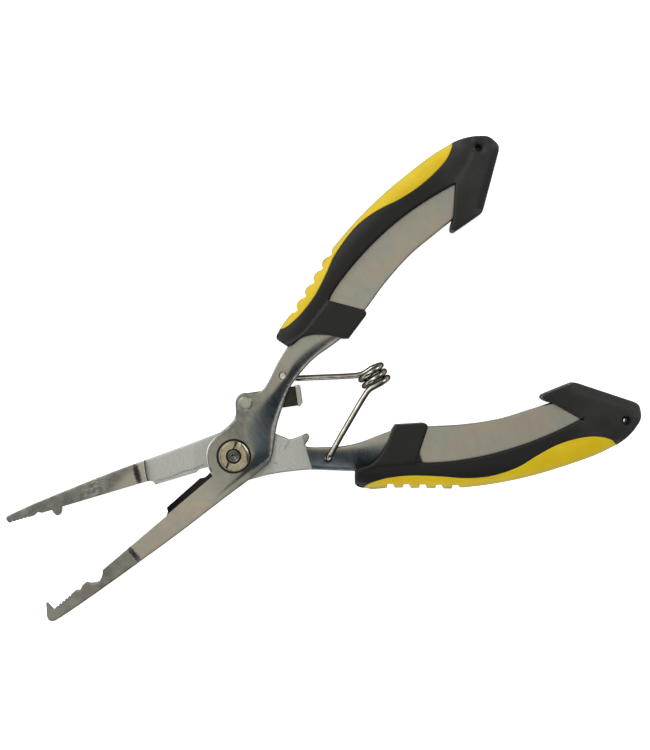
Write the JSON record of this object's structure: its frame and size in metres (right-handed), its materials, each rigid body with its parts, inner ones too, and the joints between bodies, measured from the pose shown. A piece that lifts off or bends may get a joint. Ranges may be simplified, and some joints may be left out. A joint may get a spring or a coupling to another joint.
{
  "type": "fishing pliers",
  "caption": "Long-nosed fishing pliers with half-lap steel levers, side cutters, moulded grips, an opening spring and a hook latch.",
  "frame": {"origin": "centre of the pivot bolt's flat back face, on the pivot axis", "axes": "+X from the jaws to the handles along the line the pliers close on, +Y to the upper handle, +Z out of the front face along the pivot"},
  "size_m": [0.175, 0.097, 0.0104],
  "materials": {
    "lever_steel": "satin ground steel with fine scratches, light grit-blast in the milled half-laps",
    "grip_plastic": "matt black moulded plastic, finely grained outer band",
    "grip_rubber": "semi-matt yellow soft moulded rubber",
    "nut_metal": "nickel-plated brass, turned, slightly worn",
    "latch_steel": "pressed sheet steel, tumbled",
    "spring_steel": "bright drawn spring wire"
  },
  "bodies": {
    "upper_half": {"upper_lever": "lever_steel", "upper_grip": "grip_plastic", "upper_grip_insert": "grip_rubber", "pivot_bolt": "lever_steel", "pivot_nut": "nut_metal", "pivot_spring_washer": "spring_steel", "latch_rivet": "latch_steel", "latch_spring_washer": "spring_steel"},
    "lower_half": {"lower_lever": "lever_steel", "lower_grip": "grip_plastic", "lower_grip_insert": "grip_rubber"},
    "latch": {"latch": "latch_steel"},
    "spring_front": {"spring_upper_arm": "spring_steel", "spring_coil": "spring_steel"},
    "spring_rear": {"spring_lower_arm": "spring_steel"}
  },
  "joints": [
    {"name": "pivot_hinge", "type": "hinge", "parent": "upper_half", "child": "lower_half", "pos_m": [0, 0, 0.0052], "axis": [0, 0, 1], "range_deg": [0, 23.4], "stiffness_Nm_per_rad": 2.5},
    {"name": "latch_hinge", "type": "hinge", "parent": "upper_half", "child": "latch", "pos_m": [0.00993, 0.01159, 0.0052], "axis": [0, 0, -1], "range_deg": [0, 10]},
    {"name": "spring_upper_eye", "type": "hinge", "parent": "upper_half", "child": "spring_front", "pos_m": [0.02294, 0.0134, 0.0052], "axis": [0, 0, 1], "range_deg": [0, 24.8]},
    {"name": "spring_coil_turn", "type": "hinge", "parent": "spring_front", "child": "spring_rear", "pos_m": [0.0453, 0.0009, 0.0052], "axis": [0, 0, 1], "range_deg": [-24.1, 0]}
  ],
  "couplings": [
    {"joint": "spring_upper_eye", "follows": "pivot_hinge", "ratio": 1.0589},
    {"joint": "spring_coil_turn", "follows": "pivot_hinge", "ratio": -1.029}
  ]
}
